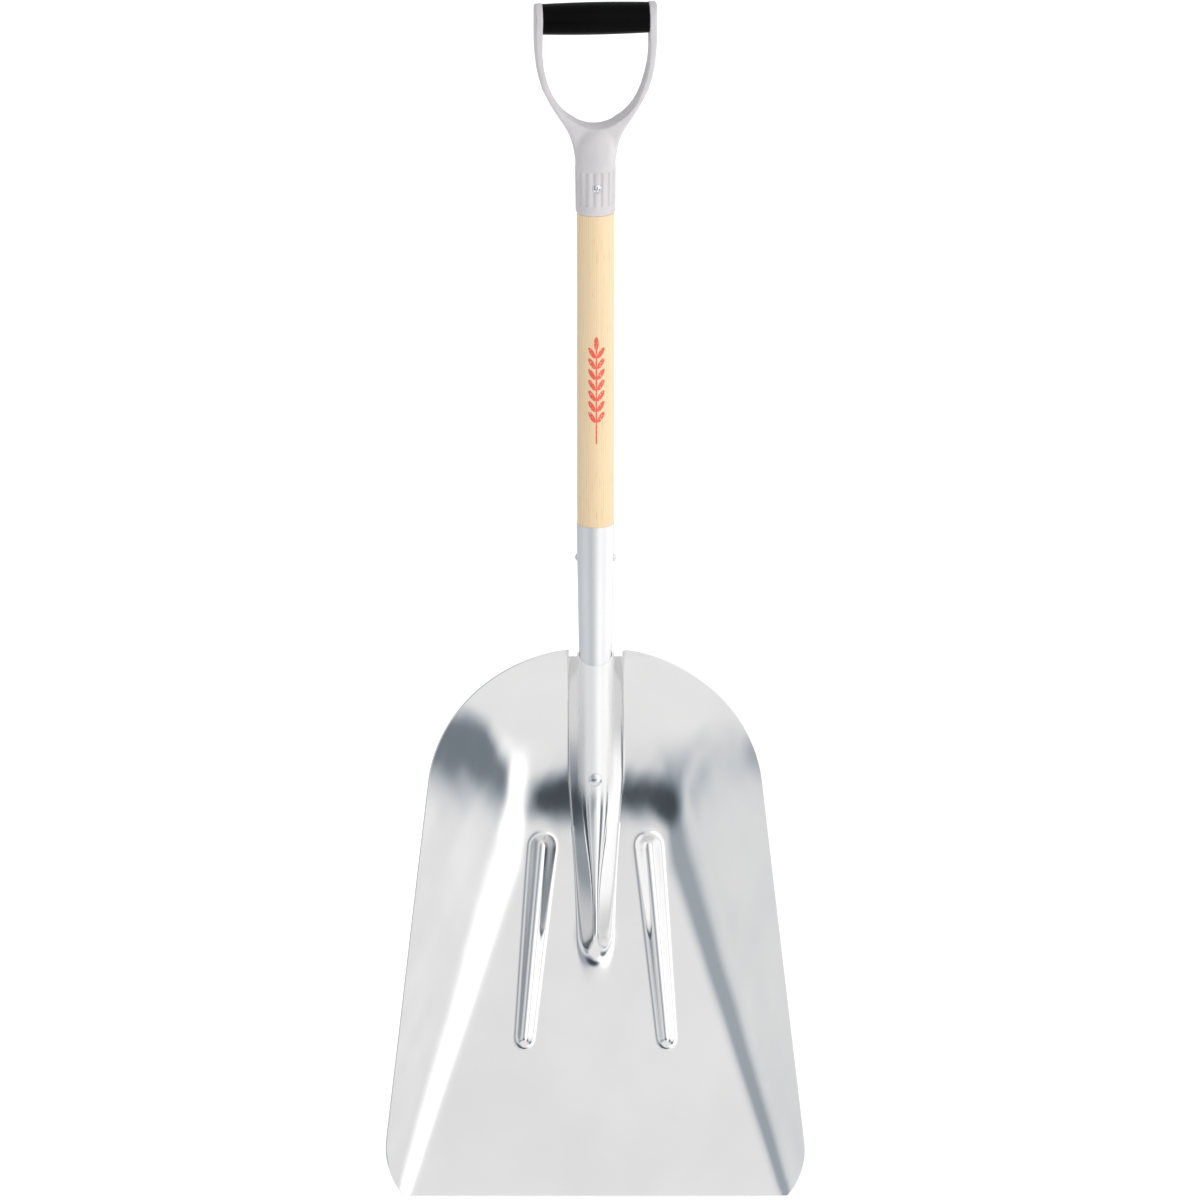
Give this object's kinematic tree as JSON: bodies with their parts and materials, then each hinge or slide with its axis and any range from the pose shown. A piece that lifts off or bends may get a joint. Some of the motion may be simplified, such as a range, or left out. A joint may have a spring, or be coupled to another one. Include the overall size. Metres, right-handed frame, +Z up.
{
  "type": "grain scoop shovel",
  "caption": "Long-handled grain scoop shovel: dished aluminium pan with a raised frog and ribs, rolled socket, round wooden shaft and a moulded D-grip with a soft hand bar.",
  "frame": {"origin": "underside of the hand bar at its middle, where a wall hook carries the shovel", "axes": "+Z runs up the shaft to the grip, -Y is the load side the pan opens to, +X is to the right of someone looking into the pan"},
  "size_m": [0.389, 0.1123, 1.124],
  "materials": {
    "polished_aluminium": "polished sheet with fine rolling lines",
    "brushed_aluminium": "brushed round the tube",
    "ash_wood": "sanded ash with a thin clear coat",
    "rivet_metal": "bright zinc",
    "grey_plastic": "satin moulded",
    "soft_black": "satin, smooth",
    "zinc_screw": "bright zinc"
  },
  "bodies": {
    "root": {"scoop_blade": "polished_aluminium", "socket_tube": "brushed_aluminium", "wood_shaft": "ash_wood", "socket_rivet": "rivet_metal", "frog_rivet": "rivet_metal", "frog_rivet_washer": "rivet_metal", "grip_yoke": "grey_plastic", "hand_grip": "soft_black", "grip_screw": "zinc_screw"}
  },
  "joints": []
}
